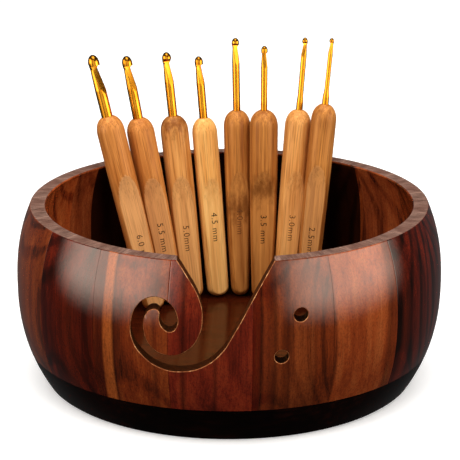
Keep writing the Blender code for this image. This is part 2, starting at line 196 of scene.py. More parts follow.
class Tree:
    """A material's nodes. Each call adds one node, joins it to sockets or sets its values."""

    def __init__(self, name):
        self.material = bpy.data.materials.new(name)
        self.material.use_nodes = True
        self.nodes = self.material.node_tree.nodes
        self.links = self.material.node_tree.links
        self.shader = self.nodes["Principled BSDF"]

    def fill(self, node, inputs):
        for key, value in inputs.items():
            socket = node.inputs[key]
            if isinstance(value, bpy.types.NodeSocket):
                self.links.new(value, socket)
            else:
                socket.default_value = value
        return node

    def add(self, kind, inputs, **settings):
        node = self.nodes.new(kind)
        for key, value in settings.items():
            setattr(node, key, value)
        return self.fill(node, inputs)

    def place(self):
        return self.add("ShaderNodeTexCoord", {}).outputs["Object"]

    def maths(self, operation, *values):
        inputs = dict(enumerate(values))
        return self.add("ShaderNodeMath", inputs, operation=operation).outputs[0]

    def vector(self, operation, *values):
        inputs = dict(enumerate(values))
        return self.add("ShaderNodeVectorMath", inputs, operation=operation).outputs[0]

    def split(self, vector):
        """The X, Y and Z of a vector."""
        return self.add("ShaderNodeSeparateXYZ", {0: vector}).outputs

    def length(self, vector):
        return self.add("ShaderNodeVectorMath", {0: vector}, operation="LENGTH").outputs["Value"]

    def axis_distance(self, place):
        """How far a place is from the object's own Z axis."""
        return self.length(self.vector("MULTIPLY", place, (1.0, 1.0, 0.0)))

    def noise(self, place, stretch, scale, detail=2.0, roughness=0.5, seed=0.0):
        """Noise that is drawn out along an axis by a small stretch value for it."""
        moved = self.vector("ADD", place, (seed, seed * 0.7, seed * 1.3))
        drawn = self.vector("MULTIPLY", moved, stretch)
        inputs = {"Vector": drawn, "Scale": scale, "Detail": detail, "Roughness": roughness}
        return self.add("ShaderNodeTexNoise", inputs).outputs["Fac"]

    def ramp(self, factor, stops):
        """The Color and Alpha of a colour ramp through (position, colour) stops, in order."""
        node = self.add("ShaderNodeValToRGB", {"Fac": factor})
        elements = node.color_ramp.elements
        first, *inner, last = stops
        for position, colour in inner:
            elements.new(position).color = colour
        for element, (position, colour) in ((elements[0], first), (elements[-1], last)):
            element.position = position
            element.color = colour
        return node.outputs

    def shade(self, factor, low, high, dark=0.0, light=1.0):
        """A grey that goes from dark to light as the factor goes from low to high."""
        inputs = {"Value": factor, "From Min": low, "From Max": high, "To Min": dark, "To Max": light}
        return self.add("ShaderNodeMapRange", inputs, interpolation_type="SMOOTHSTEP").outputs[0]

    def mix(self, factor, first, second):
        node = self.add("ShaderNodeMix", {}, data_type="RGBA")
        self.fill(node, {0: factor, 6: first, 7: second})
        return node.outputs[2]

    def bump(self, height, distance, strength):
        inputs = {"Height": height, "Distance": distance, "Strength": strength}
        return self.add("ShaderNodeBump", inputs).outputs[0]

    def finish(self, **inputs):
        """Sets the surface's own sockets, given in lower case, and returns the material."""
        names = {key.replace("_", " ").title().replace("Ior", "IOR"): v for key, v in inputs.items()}
        self.fill(self.shader, names)
        return self.material


def rgb(red, green, blue, alpha=1.0):
    """A colour from 0 to 255 sRGB values, as the shader wants it."""

    def linear(value):
        share = value / 255
        return share / 12.92 if share <= 0.04045 else ((share + 0.055) / 1.055) ** 2.4

    return (linear(red), linear(green), linear(blue), alpha)


# Materials


def wood_figure(tree, seed, rings, lean):
    """The place on a board, the place with the grain's drift, and three figures that follow it:
    dark growth lines, broad streaks and fine fibre."""
    place = tree.place()
    drift = tree.noise(place, (1.0, 1.0, 0.25), 22.0, 3.0, 0.55, seed)
    drift = tree.maths("MULTIPLY", tree.maths("SUBTRACT", drift, 0.5), 9.0 * MM)
    grain = tree.vector("ADD", place, tree.add("ShaderNodeCombineXYZ", {0: drift, 1: drift}).outputs[0])
    pith = tree.vector("ADD", grain, ((seed % 3 - 1) * 9 * MM, (60 + seed * 11 % 30) * MM, 0.0))
    x, y, z = tree.split(pith)
    across = tree.maths("ADD", x, tree.maths("MULTIPLY", z, lean))
    distance = tree.length(tree.add("ShaderNodeCombineXYZ", {0: across, 1: y}).outputs[0])
    wave = tree.maths("SINE", tree.maths("MULTIPLY", distance, rings * math.tau))
    line = tree.shade(wave, 0.1, 1.0)
    streak = tree.noise(grain, (1.0, 1.0, 0.05), 170.0, 4.0, 0.62, seed + 3)
    fibre = tree.noise(grain, (1.0, 1.0, 0.035), 1500.0, 3.0, 0.6, seed + 5)
    return place, grain, line, streak, fibre


def wood(name, dark, middle, light, seed, rings, lean, figure, bands, painted_shade):
    """Lacquered rosewood. Bands are (place across the stave from -1 to 1, colour with its strength),
    and a painted shade is the two places across the stave between which the inner face is painted dark, or
    None."""
    tree = Tree(name)
    pore_brown = (0.010, 0.004, 0.003, 1.0)
    blotch_brown = (0.02, 0.006, 0.004, 1.0)
    place, grain, line, streak, fibre = wood_figure(tree, seed, rings, lean)
    tone = tree.maths("MULTIPLY_ADD", fibre, 0.42, tree.maths("SUBTRACT", streak, 0.06))
    tone = tree.maths("SUBTRACT", tone, tree.maths("MULTIPLY", line, figure * 0.5))
    colour = tree.ramp(tone, [(0.34, dark), (0.60, middle), (0.86, light)])["Color"]
    if bands:
        share = tree.maths("MULTIPLY_ADD", tree.split(grain)[0], 0.5 / STAVE_HALF_WIDTH, 0.5)
        band = tree.ramp(share, [((position + 1) / 2, shade) for position, shade in bands])
        strength = tree.maths("MULTIPLY", band["Alpha"], tree.shade(fibre, 0.25, 0.6, 0.55, 1.0))
        colour = tree.mix(strength, colour, band["Color"])
    pores = tree.noise(grain, (1.0, 1.0, 0.05), 3800.0, 2.0, 0.5, seed + 9)
    colour = tree.mix(tree.shade(pores, 0.60, 0.68, 0.0, 0.55), colour, pore_brown)
    blotch = tree.noise(place, (1.0, 1.0, 0.5), 60.0, 2.0, 0.5, seed + 11)
    colour = tree.mix(tree.shade(blotch, 0.35, 0.7, 0.0, 0.22), colour, blotch_brown)
    fleck = tree.noise(place, (1.0, 1.0, 0.7), 1300.0, 2.0, 0.6, seed + 13)
    colour = tree.mix(tree.shade(fleck, 0.42, 0.66, 0.0, 0.30), colour, blotch_brown)
    # painted shade, darkening the inner face behind the hooks
    if painted_shade:
        colour = paint_shade_inside(tree, colour, *painted_shade)
    peel = tree.noise(place, (1.0, 1.0, 1.0), 420.0, 1.0)
    lacquer = tree.bump(peel, 0.05 * MM, 0.35)
    surface = tree.bump(fibre, 0.04 * MM, 0.5)
    roughness = tree.shade(streak, 0.3, 0.7, 0.52, 0.40)
    return tree.finish(
        base_color=colour, roughness=roughness, normal=surface, coat_normal=lacquer,
        coat_weight=1.0, coat_roughness=0.10, coat_ior=1.5, specular_ior_level=0.0,
    )


def paint_shade_inside(tree, colour, start, end):
    """Paints shade, nearly black, on the inner face between two places across the stave, from -1 to 1."""
    place = tree.place()
    across, _, height = tree.split(place)
    left = tree.shade(across, (start - INNER_SHADE_EDGE) * STAVE_HALF_WIDTH, start * STAVE_HALF_WIDTH)
    right = tree.shade(across, end * STAVE_HALF_WIDTH, (end + INNER_SHADE_EDGE) * STAVE_HALF_WIDTH, 1.0, 0.0)
    face = BOWL_RADIUS - WALL
    inside = tree.shade(tree.axis_distance(place), face, face + WALL * INNER_SHADE_DEPTH, 1.0, 0.0)
    below_rim = tree.shade(height, RIM_HEIGHT - INNER_SHADE_MARGIN, RIM_HEIGHT, 1.0, 0.0)
    inside = tree.maths("MULTIPLY", inside, below_rim)
    share = tree.maths("MULTIPLY", tree.maths("MULTIPLY", left, right), inside)
    # the painted shade's colour, nearly black
    return tree.mix(tree.maths("MULTIPLY", share, INNER_SHADE_STRENGTH), colour, rgb(8, 3, 2))


def rim_wood():
    """Sanded end grain: dull, with short lines that run across the rim."""
    tree = Tree("rim_wood")
    place = tree.place()
    lines = tree.noise(place, (1.0, 0.10, 1.0), 900.0, 3.0, 0.6)
    patch = tree.noise(place, (1.0, 1.0, 1.0), 70.0, 3.0, 0.5, 4)
    stops = [(0.30, rgb(62, 42, 35)), (0.5, rgb(114, 86, 74)), (0.72, rgb(164, 130, 114))]
    colour = tree.ramp(lines, stops)["Color"]
    colour = tree.mix(tree.shade(patch, 0.35, 0.65, 0.0, 0.5), colour, rgb(74, 40, 30))
    specks = tree.noise(place, (1.0, 0.5, 1.0), 2600.0, 1.0, 0.5, 8)
    colour = tree.mix(tree.shade(specks, 0.58, 0.68, 0.0, 0.6), colour, rgb(40, 20, 14))
    return tree.finish(base_color=colour, roughness=0.55, normal=tree.bump(lines, 0.06 * MM, 0.6),
                       specular_ior_level=0.25)


def cut_wood(name, share):
    """Sawn and sanded face of a cut, darkened by painted shade to a share of its full tone."""
    tree = Tree(name)
    place = tree.place()
    lines = tree.noise(place, (1.0, 1.0, 0.08), 1100.0, 3.0, 0.6)
    patch = tree.noise(place, (1.0, 1.0, 0.4), 120.0, 3.0, 0.5, 2)
    stops = [(0.30, rgb(34, 14, 5)), (0.52, rgb(66, 30, 10)), (0.75, rgb(104, 50, 18))]
    colour = tree.ramp(lines, stops)["Color"]
    colour = tree.mix(tree.shade(patch, 0.35, 0.65, 0.0, 0.6), colour, rgb(46, 20, 8))
    # painted shade: darkens the face towards black by what the share leaves
    colour = tree.mix(1.0 - share, colour, rgb(3, 1, 1))
    return tree.finish(base_color=colour, roughness=0.55, normal=tree.bump(lines, 0.05 * MM, 0.6),
                       specular_ior_level=0.04)


def arris_wood():
    """Edges sanded through to pale wood."""
    tree = Tree("arris_wood")
    place = tree.place()
    wear = tree.noise(place, (1.0, 1.0, 0.6), 500.0, 3.0, 0.6)
    stops = [(0.32, rgb(96, 44, 22)), (0.5, rgb(150, 88, 50)), (0.68, rgb(204, 146, 96))]
    return tree.finish(base_color=tree.ramp(wear, stops)["Color"], roughness=0.5, specular_ior_level=0.1)


def base_wood():
    """Dark ebonised wood, turned, a little browner lower down and on the floor."""
    tree = Tree("base_wood")
    place = tree.place()
    grain = tree.noise(place, (0.12, 1.0, 1.0), 500.0, 4.0, 0.6)
    patch = tree.noise(place, (0.5, 1.0, 1.0), 45.0, 3.0, 0.5, 6)
    stops = [(0.30, rgb(6, 2, 2)), (0.55, rgb(18, 6, 4)), (0.75, rgb(46, 18, 10))]
    colour = tree.ramp(grain, stops)["Color"]
    colour = tree.mix(tree.shade(patch, 0.4, 0.6, 0.0, 0.75), colour, rgb(4, 2, 1))
    floor_stops = [(0.30, rgb(26, 8, 3)), (0.5, rgb(54, 20, 7)), (0.75, rgb(82, 34, 12))]
    floor = tree.ramp(grain, floor_stops)["Color"]
    inner, outer = FLOOR_TONE
    colour = tree.mix(tree.shade(tree.axis_distance(place), outer, inner), colour, floor)
    peel = tree.noise(place, (1.0, 1.0, 1.0), 420.0, 1.0)
    return tree.finish(base_color=colour, roughness=0.42, normal=tree.bump(grain, 0.04 * MM, 0.5),
                       coat_normal=tree.bump(peel, 0.05 * MM, 0.35), coat_weight=0.55,
                       coat_roughness=0.16, coat_tint=rgb(255, 214, 190), specular_ior_level=0.0)


def bamboo(name, pale, deep, seed, wear, mottle=0.0, mottle_height=0.0):
    """Oiled bamboo with fine fibres. The thumb flat is paler, partly by its wear and partly by painted
    light, and duller. A handle may have a mottled patch about a height above its foot."""
    tree = Tree(name)
    place = tree.place()
    fibre = tree.noise(place, (1.0, 1.0, 0.025), 2300.0, 2.0, 0.6, seed)
    bundle = tree.noise(place, (1.0, 1.0, 0.022), 620.0, 2.0, 0.5, seed + 2)
    tone = tree.noise(place, (1.0, 1.0, 0.20), 130.0, 2.0, 0.5, seed + 4)
    blend = tree.maths("MULTIPLY_ADD", bundle, 0.6, tree.maths("MULTIPLY", tone, 0.4))
    colour = tree.ramp(blend, [(0.36, deep), (0.64, pale)])["Color"]
    brown = (deep[0] * 0.40, deep[1] * 0.32, deep[2] * 0.26, 1.0)
    flat = tree.add("ShaderNodeAttribute", {}, attribute_name="flat").outputs["Fac"]
    # the thumb flat's paler colour: partly wear, partly painted light
    colour = tree.mix(tree.shade(flat, 0.2, 0.8, 0.0, wear), colour, rgb(238, 182, 122))
    dashes = tree.shade(fibre, 0.50, 0.66, 0.0, 0.50)
    dashes = tree.maths("MULTIPLY", dashes, tree.shade(flat, 0.2, 0.8, 1.0, 0.6))
    colour = tree.mix(dashes, colour, brown)
    if mottle:
        height = tree.split(place)[2]
        distance = tree.maths("ABSOLUTE", tree.maths("SUBTRACT", height, mottle_height))
        cloud = tree.noise(place, (1.0, 1.0, 0.5), 330.0, 3.0, 0.65, seed + 7)
        edge = tree.maths("MULTIPLY_ADD", cloud, 26.0 * MM, distance)
        patch = tree.shade(edge, 24.0 * MM, 12.0 * MM, 0.0, mottle)
        colour = tree.mix(patch, colour, brown)
    roughness = tree.shade(flat, 0.2, 0.8, 0.36, 0.52)
    return tree.finish(base_color=colour, roughness=roughness, coat_weight=0.12, coat_roughness=0.25,
                       normal=tree.bump(fibre, 0.05 * MM, 0.5), specular_ior_level=0.15)


def gold():
    """Anodised aluminium with fine drawing lines along it and a little wear."""
    tree = Tree("gold_anodised")
    place = tree.place()
    lines = tree.noise(place, (1.0, 1.0, 0.015), 3600.0, 2.0, 0.6)
    patch = tree.noise(place, (1.0, 1.0, 0.4), 260.0, 2.0, 0.5, 3)
    colour = tree.mix(tree.shade(patch, 0.40, 0.65), rgb(238, 164, 46), rgb(226, 146, 34))
    roughness = tree.shade(patch, 0.3, 0.7, 0.20, 0.24)
    return tree.finish(base_color=colour, metallic=1.0, roughness=roughness,
                       normal=tree.bump(lines, 0.004 * MM, 0.2))


def ink(name, darkness):
    """Burnt-in mark, uneven as laser marking on bamboo is, and paler where it is less dark."""

    def paled(burnt, bare):
        return tuple(a + (b - a) * (1 - darkness) for a, b in zip(burnt, bare))

    tree = Tree(name)
    burn = tree.noise(tree.place(), (1.0, 1.0, 1.0), 1500.0, 2.0, 0.6)
    deep = paled(rgb(12, 6, 4), rgb(112, 64, 32))
    faint = paled(rgb(36, 18, 10), rgb(150, 92, 50))
    colour = tree.ramp(burn, [(0.35, deep), (0.65, faint)])["Color"]
    return tree.finish(base_color=colour, roughness=0.7, specular_ior_level=0.2)


def staves_wood():
    """Each stave's own board: its tones, figure and the bands that run up it. Some tones are lightened by
    painted light.
    """
    black = rgb(14, 4, 3)
    clear = black[:3] + (0.0,)
    red = dict(dark=rgb(58, 15, 8), middle=rgb(116, 35, 19), light=rgb(148, 56, 28))
    brown = dict(dark=rgb(56, 20, 8), middle=rgb(124, 48, 18), light=rgb(160, 76, 31))
    streaked = dict(dark=rgb(54, 19, 7), middle=rgb(116, 46, 17), light=rgb(150, 70, 30))
    orange = dict(dark=rgb(112, 40, 16), middle=rgb(168, 74, 31), light=rgb(192, 100, 48))
    # partly painted light: the wood's tones lightened for the staves whose inner faces show
    inner = dict(dark=rgb(84, 32, 14), middle=rgb(140, 62, 28), light=rgb(164, 84, 42))
    dark = dict(dark=rgb(20, 5, 2), middle=rgb(72, 16, 7), light=rgb(126, 36, 15))
    woods = {
        # tones, seed, growth lines per metre, their lean, their strength, bands
        1: (brown, 1.0, 200.0, 0.02, 0.25, (
            (-1.0, rgb(66, 16, 6, 0.9)), (-0.74, rgb(60, 15, 6, 0.9)), (-0.69, rgb(176, 88, 36, 0.9)),
            (-0.50, rgb(188, 98, 42, 0.9)), (-0.43, rgb(30, 9, 4, 0.8)), (-0.36, rgb(60, 20, 8, 0.3)),
            (-0.25, rgb(110, 52, 24, 0.0)), (0.50, rgb(110, 52, 24, 0.0)), (0.62, rgb(48, 14, 6, 0.5)),
            (0.72, rgb(60, 20, 10, 0.0)), (1.0, rgb(110, 34, 14, 0.2)))),
        2: (red, 4.0, 150.0, -0.03, 0.20, (
            (-1.0, clear), (-0.70, clear), (-0.60, black[:3] + (0.75,)), (-0.50, clear),
            (0.02, clear), (0.10, black[:3] + (0.6,)), (0.18, clear), (1.0, clear))),
        3: (streaked, 2.0, 240.0, 0.02, 0.30, (
            (-1.0, rgb(84, 14, 5, 0.9)), (-0.84, rgb(80, 14, 5, 0.8)), (-0.78, black[:3] + (0.9,)),
            (-0.70, rgb(96, 22, 9, 0.5)), (-0.45, black[:3] + (0.65,)), (-0.36, rgb(104, 48, 18, 0.2)),
            (-0.12, black[:3] + (0.6,)), (-0.04, rgb(112, 56, 24, 0.3)), (0.45, rgb(112, 56, 24, 0.45)),
            (0.52, rgb(50, 18, 6, 0.5)), (0.60, rgb(110, 46, 16, 0.2)), (1.0, rgb(110, 46, 16, 0.2)))),
        4: (orange, 3.0, 150.0, 0.015, 0.12, (
            (-1.0, rgb(44, 12, 5, 0.8)), (-0.93, rgb(124, 48, 15, 0.3)), (0.60, rgb(124, 48, 15, 0.0)),
            (0.70, rgb(70, 18, 6, 0.6)), (0.78, black[:3] + (0.7,)), (0.86, rgb(76, 18, 6, 0.8)),
            (1.0, rgb(84, 22, 8, 0.7)))),
        5: (dark, 5.0, 200.0, 0.05, 0.55, (
            (-1.0, black[:3] + (0.75,)), (-0.80, black[:3] + (0.6,)), (-0.62, rgb(100, 32, 14, 0.6)),
            (-0.30, black[:3] + (0.4,)), (-0.1, rgb(84, 24, 10, 0.2)), (0.3, black[:3] + (0.5,)),
            (0.6, rgb(84, 24, 10, 0.2)), (1.0, black[:3] + (0.3,)))),
        6: (dark, 6.5, 210.0, -0.05, 0.45, ()),
        7: (streaked, 7.0, 230.0, 0.04, 0.45, ()),
        8: (inner, 8.5, 180.0, -0.02, 0.4, ()),
        9: (streaked, 9.0, 240.0, 0.03, 0.5, ()),
        10: (orange, 10.5, 160.0, 0.02, 0.3, ()),
        11: (red, 11.0, 200.0, -0.04, 0.4, ()),
        12: (inner, 12.5, 220.0, 0.03, 0.4, ()),
        13: (inner, 13.0, 170.0, 0.02, 0.3, ()),
        14: (orange, 14.5, 240.0, -0.03, 0.5, ()),
        15: (inner, 15.0, 200.0, 0.04, 0.4, ()),
        16: (streaked, 16.5, 230.0, -0.03, 0.4, ()),
        17: (dark, 17.0, 220.0, 0.03, 0.35, (
            (-1.0, black[:3] + (0.2,)), (-0.2, rgb(96, 28, 12, 0.2)), (0.15, rgb(104, 34, 14, 0.6)),
            (0.60, rgb(84, 24, 10, 0.5)), (0.75, black[:3] + (0.5,)), (1.0, rgb(92, 30, 12, 0.5)))),
    }
    # Where shade is painted dark on the inner faces, across the stave; beyond 1 is past its edge
    shade_places = {9: (-0.8, 1.1), 10: (-1.1, 1.1), 11: (-1.1, 1.1), 12: (-1.1, 1.1), 13: (-1.1, 0.05)}
    return {
        number: wood(f"stave_wood_{number:02d}", **tones, seed=seed, rings=rings, lean=lean,
                     figure=figure, bands=bands, painted_shade=shade_places.get(number))
        for number, (tones, seed, rings, lean, figure, bands) in woods.items()
    }


# Mesh building


def new_object(name, data, matrix=None):
    obj = bpy.data.objects.new(name, data)
    bpy.context.scene.collection.objects.link(obj)
    if matrix:
        obj.matrix_world = matrix
    return obj


def smooth(mesh, angle=32):
    mesh.shade_smooth()
    mesh.set_sharp_from_angle(angle=math.radians(angle))


def between(low, high, steps):
    return [low + (high - low) * step / steps for step in range(steps + 1)]


def arc(centre, radius, start, end, steps):
    angles = [math.radians(angle) for angle in between(start, end, steps)]
    return [(centre[0] + radius * math.cos(a), centre[1] + radius * math.sin(a)) for a in angles]


def polar(radius, azimuth, height):
    return Vector((radius * math.sin(azimuth), -radius * math.cos(azimuth), height))


def rings_mesh(name, rings, closed_ends):
    """A mesh through rings of equally many points, with a cap at both ends if they are closed here.
    Otherwise each end ring is a point or closes by itself."""
    mesh = bpy.data.meshes.new(name)
    points = [point for ring in rings for point in ring]
    sides = len(rings[0])
    faces = []
    for row in range(len(rings) - 1):
        for side in range(sides):
            after = (side + 1) % sides
            faces.append((row * sides + side, row * sides + after,
                          (row + 1) * sides + after, (row + 1) * sides + side))
    if closed_ends:
        last = (len(rings) - 1) * sides
        faces.append(tuple(reversed(range(sides))))
        faces.append(tuple(range(last, last + sides)))
    mesh.from_pydata(points, [], faces)
    bm = bmesh.new()
    bm.from_mesh(mesh)
    bmesh.ops.remove_doubles(bm, verts=bm.verts, dist=MERGE_DISTANCE)
    bmesh.ops.recalc_face_normals(bm, faces=bm.faces)
    bm.to_mesh(mesh)
    bm.free()
    return mesh


def turned(name, profile, sides, shape=None):
    """Turned about local Z from (radius, height) points. shape may move each point."""
    rings = []
    for radius, height in profile:
        ring = [polar(radius, math.tau * side / sides, height) for side in range(sides)]
        rings.append([shape(point) for point in ring] if shape else ring)
    return rings_mesh(name, rings, closed_ends=False)


def islands(mesh):
    """The separate bodies of a mesh, each as a set of vertex numbers."""
    neighbours = {vertex.index: [] for vertex in mesh.vertices}
    for edge in mesh.edges:
        a, b = edge.vertices
        neighbours[a].append(b)
        neighbours[b].append(a)
    found = []
    waiting = set(neighbours)
    while waiting:
        body = {waiting.pop()}
        frontier = list(body)
        while frontier:
            fresh = waiting.intersection(neighbours[frontier.pop()])
            waiting -= fresh
            body |= fresh
            frontier += fresh
        found.append(body)
    return found


def keep_only(mesh, body, name):
    copy = mesh.copy()
    copy.name = name
    bm = bmesh.new()
    bm.from_mesh(copy)
    bmesh.ops.delete(bm, geom=[v for v in bm.verts if v.index not in body], context="VERTS")
    bm.to_mesh(copy)
    bm.free()
    return copy


def subtract(obj, cutters):
    """Cuts and applies; faces left by a cutter keep the cutter's materials."""
    for cutter in cutters:
        boolean = obj.modifiers.new("Cut", "BOOLEAN")
        boolean.operation = "DIFFERENCE"
        boolean.solver = "EXACT"
        boolean.material_mode = "TRANSFER"
        boolean.object = cutter
    bpy.context.view_layer.update()
    depsgraph = bpy.context.evaluated_depsgraph_get()
    mesh = bpy.data.meshes.new_from_object(obj.evaluated_get(depsgraph))
    obj.modifiers.clear()
    obj.data = mesh
    smooth(mesh)


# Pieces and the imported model


def slot_of(node):
    """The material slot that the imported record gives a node."""
    return next(part["material_slot"] for part in frame["record"]["subparts"] if part["node"] == node)


def settle(obj, body, slot, *nodes):
    """The piece stands for these CAD nodes and moves with their body."""
    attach(obj, body)
    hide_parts(*nodes)


# Bowl


def outer_radius(height):
    rise = abs(height - WAIST_HEIGHT) / (RIM_HEIGHT - WAIST_HEIGHT)
    return BOWL_RADIUS - RIM_INSET * rise**PROFILE_POWER


def inner_radius(height):
    return outer_radius(height) - WALL


def wall_section(dip):
    """The wall's outline with rounded rim edges; dip draws its faces in, for the joint lines."""
    foot = SHOULDER_HEIGHT + CLEARANCE / 2
    brow = RIM_HEIGHT - RIM_EASE
    outside = [(outer_radius(z) - dip, z) for z in between(foot, brow, WALL_ROWS)]
    inside = [(inner_radius(z) + dip, z) for z in between(brow, foot, WALL_ROWS)]
    outer_edge = arc((outside[-1][0] - RIM_EASE, brow), RIM_EASE - dip, 0, 90, 4)[1:]
    inner_edge = arc((inside[0][0] + RIM_EASE, brow), RIM_EASE - dip, 90, 180, 4)[:-1]
    return outside + outer_edge + inner_edge + inside


def first_seam():
    """The azimuth of stave 1's left seam, from an uncut stave of the frame."""
    vertices = frame["nodes"]["stave_04"].data.vertices
    seam = min(math.atan2(v.co.x, -v.co.y) for v in vertices)
    return seam - 3 * math.tau / STAVE_COUNT


def make_stave(number, material, rim):
    """One stave about local azimuth 0, turned into its place."""
    half = math.pi / STAVE_COUNT
    reach = SEAM_REACH / BOWL_RADIUS
    edge = half - SEAM / BOWL_RADIUS
    middle = between(-edge + 2 * reach, edge - 2 * reach, STAVE_STEPS)
    azimuths = [-edge, -edge + reach, *middle, edge - reach, edge]
    dips = [SEAM_EASE, 0.0, *[0.0] * len(middle), 0.0, SEAM_EASE]
    rings = [
        [polar(radius, azimuth, height) for radius, height in wall_section(dip)]
        for azimuth, dip in zip(azimuths, dips)
    ]
    name = f"wood_{number:02d}"
    mesh = rings_mesh(name, rings, closed_ends=True)
    mesh.materials.append(material)
    mesh.materials.append(rim)
    for face in mesh.polygons:
        if face.normal.z > RIM_FACE_UP and face.center.z > RIM_HEIGHT - RIM_FACE_DEPTH:
            face.material_index = 1
    smooth(mesh)
    turn = first_seam() + (number - 0.5) * math.tau / STAVE_COUNT
    return new_object(name, mesh, Matrix.Rotation(turn, 4, "Z"))


def smooth_outline(points):
    """A closed smooth line through the points, in metres, with enough points to look round."""
    curve = bpy.data.curves.new("outline", "CURVE")
    spline = curve.splines.new("BEZIER")
    spline.use_cyclic_u = True
    spline.resolution_u = GUIDE_CURVE_STEPS
    spline.bezier_points.add(len(points) - 1)
    for point, (x, y) in zip(spline.bezier_points, points):
        point.co = (x, y, 0.0)
        point.handle_left_type = "AUTO"
        point.handle_right_type = "AUTO"
    obj = new_object("outline", curve)
    bpy.context.view_layer.update()
    mesh = obj.to_mesh()
    outline = [(vertex.co.x, vertex.co.y) for vertex in mesh.vertices]
    obj.to_mesh_clear()
    bpy.data.objects.remove(obj)
    return outline


def outward(outline):
    """The normal at each point of a closed outline, away from its inside."""
    count = len(outline)
    area = sum(a[0] * b[1] - b[0] * a[1] for a, b in zip(outline, outline[1:] + outline[:1]))
    side = 1.0 if area > 0 else -1.0
    normals = []
    for index in range(count):
        before, after = outline[index - 1], outline[(index + 1) % count]
        normal = Vector((after[1] - before[1], before[0] - after[0])) * side
        normals.append(normal.normalized())
    return normals


def cut_through(name, outline, cut, arris):
    """A cutter through the front wall along Y that also chamfers the wall's two faces."""

    def ring(spread, depth_at):
        points = []
        for (x, z), normal in zip(outline, outward(outline)):
            wide_x = x + normal.x * spread
            wide_z = z + normal.y * spread
            points.append((wide_x, depth_at(wide_x, wide_z), wide_z))
        return points

    def face(radius_at, ahead):
        return lambda x, z: -math.sqrt(radius_at(z) ** 2 - x * x) + ahead

    spread = CHAMFER + FLARE
    rings = [
        ring(spread, lambda x, z: -BOWL_RADIUS - CUT_REACH / 2),
        ring(spread, face(outer_radius, -FLARE)),
        ring(0.0, face(outer_radius, CHAMFER)),
        ring(0.0, face(inner_radius, -CHAMFER)),
        ring(spread, face(inner_radius, FLARE)),
        ring(spread, lambda x, z: -BOWL_RADIUS + CUT_REACH),
    ]
    mesh = rings_mesh(name, rings, closed_ends=True)
    mesh.materials.append(cut)
    mesh.materials.append(arris)
    sides = len(outline)
    # Each gap between two rings has as many faces as sides; the second and fourth are chamfers
    for face_number, polygon in enumerate(mesh.polygons):
        polygon.material_index = 1 if face_number // sides in (1, 3) else 0
    smooth(mesh)
    cutter = new_object(name, mesh)
    cutter.hide_render = True
    return cutter


def free_tongue(stave, number):
    """Keeps the body of a cut stave that reaches lowest; what the guide cut off it is the tongue's."""
    whole = stave.data
    bodies = sorted(islands(whole), key=lambda body: min(whole.vertices[i].co.z for i in body))
    stave.data = keep_only(whole, bodies[0], stave.name)
    if len(bodies) > 1:
        mesh = keep_only(whole, set().union(*bodies[1:]), f"wood_tongue_{number}")
        tongue = new_object(mesh.name, mesh, stave.matrix_world.copy())
        settle(tongue, "bowl", slot_of(f"tongue_{number}"), f"tongue_{number}")


def make_wall():
    woods = staves_wood()
    rim = rim_wood()
    # painted shade in the cuts: the guide's faces keep 0.6 of their tone, the bores' only 0.15
    cut, bore, arris = cut_wood("cut_wood", 0.6), cut_wood("bore_wood", 0.15), arris_wood()
    outline = smooth_outline([
        (x * MM, RIM_HEIGHT - drop * MM) for x, drop in GUIDE_TONGUE + GUIDE_EYE + GUIDE_CHANNEL
    ])
    guide = cut_through("guide", outline, cut, arris)
    holes = []
    for number, (x, drop) in enumerate(YARN_HOLES):
        circle = arc((x, RIM_HEIGHT - drop), YARN_HOLE_RADIUS, 0, 360, HOLE_SIDES)[:-1]
        holes.append(cut_through(f"hole_{number}", circle, bore, arris))
    cutters = {1: [guide], 2: [guide], 3: [guide, *holes]}
    for number in range(1, STAVE_COUNT + 1):
        stave = make_stave(number, woods[number], rim)
        if number in cutters:
            subtract(stave, cutters[number])
            free_tongue(stave, number)
        node = f"stave_{number:02d}"
        settle(stave, "bowl", slot_of(node), node)
    for cutter in [guide, *holes]:
        bpy.data.objects.remove(cutter)


def make_base():
    recess = SHOULDER_HEIGHT - FLOOR_HEIGHT
    floor_edge = inner_radius(SHOULDER_HEIGHT) - recess
    fillet = arc((floor_edge, SHOULDER_HEIGHT), recess, -90, 0, 10)
    side = [(outer_radius(z), z) for z in between(SHOULDER_HEIGHT, FOOT_EASE, 12)]
    foot = arc((outer_radius(0.0) - FOOT_EASE, FOOT_EASE), FOOT_EASE, 0, -90, 6)[1:]
    rings_in = [(radius, FLOOR_HEIGHT) for radius in between(0.0, floor_edge, 8)[:-1]]
    under = [(radius, 0.0) for radius in between(outer_radius(0.0) - FOOT_EASE, 0.0, 6)[1:]]
    mesh = turned("wood_base", [*rings_in, *fillet, *side, *foot, *under], BASE_SIDES)
    mesh.materials.append(base_wood())
    smooth(mesh)
    settle(new_object("wood_base", mesh), "bowl", slot_of("base"), "base")


# Hooks


def named(kind, size):
    return kind + "_" + size.replace(".", "_")


def node_name(size):
    return named("hook", size)


def middle_along(points, axis):
    reaches = [point.dot(axis) for point in points]
    return (max(reaches) + min(reaches)) / 2


def hook_stance(size):
    """The hook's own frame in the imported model: +Z up its axis from the foot, -Y to the front."""
    name = node_name(size)
    joint = next(joint for joint in frame["joints"] if joint["child"] == name)
    up = Vector(joint["axis"]).normalized()
    side = Vector((0.0, 1.0, 0.0)).cross(up).normalized()
    back = up.cross(side)
    shaft = [v.co for v in frame["nodes"][name + "_shaft"].data.vertices]
    handle = [v.co for v in frame["nodes"][name + "_handle"].data.vertices]
    foot = min(point.dot(up) for point in shaft)
    tang = [point for point in shaft if point.dot(up) < foot + TANG_SLICE]
    origin = side * middle_along(tang, side) + back * middle_along(tang, back)
    origin += up * min(point.dot(up) for point in handle)
    return Matrix.Translation(origin) @ Matrix((side, back, up)).transposed().to_4x4()


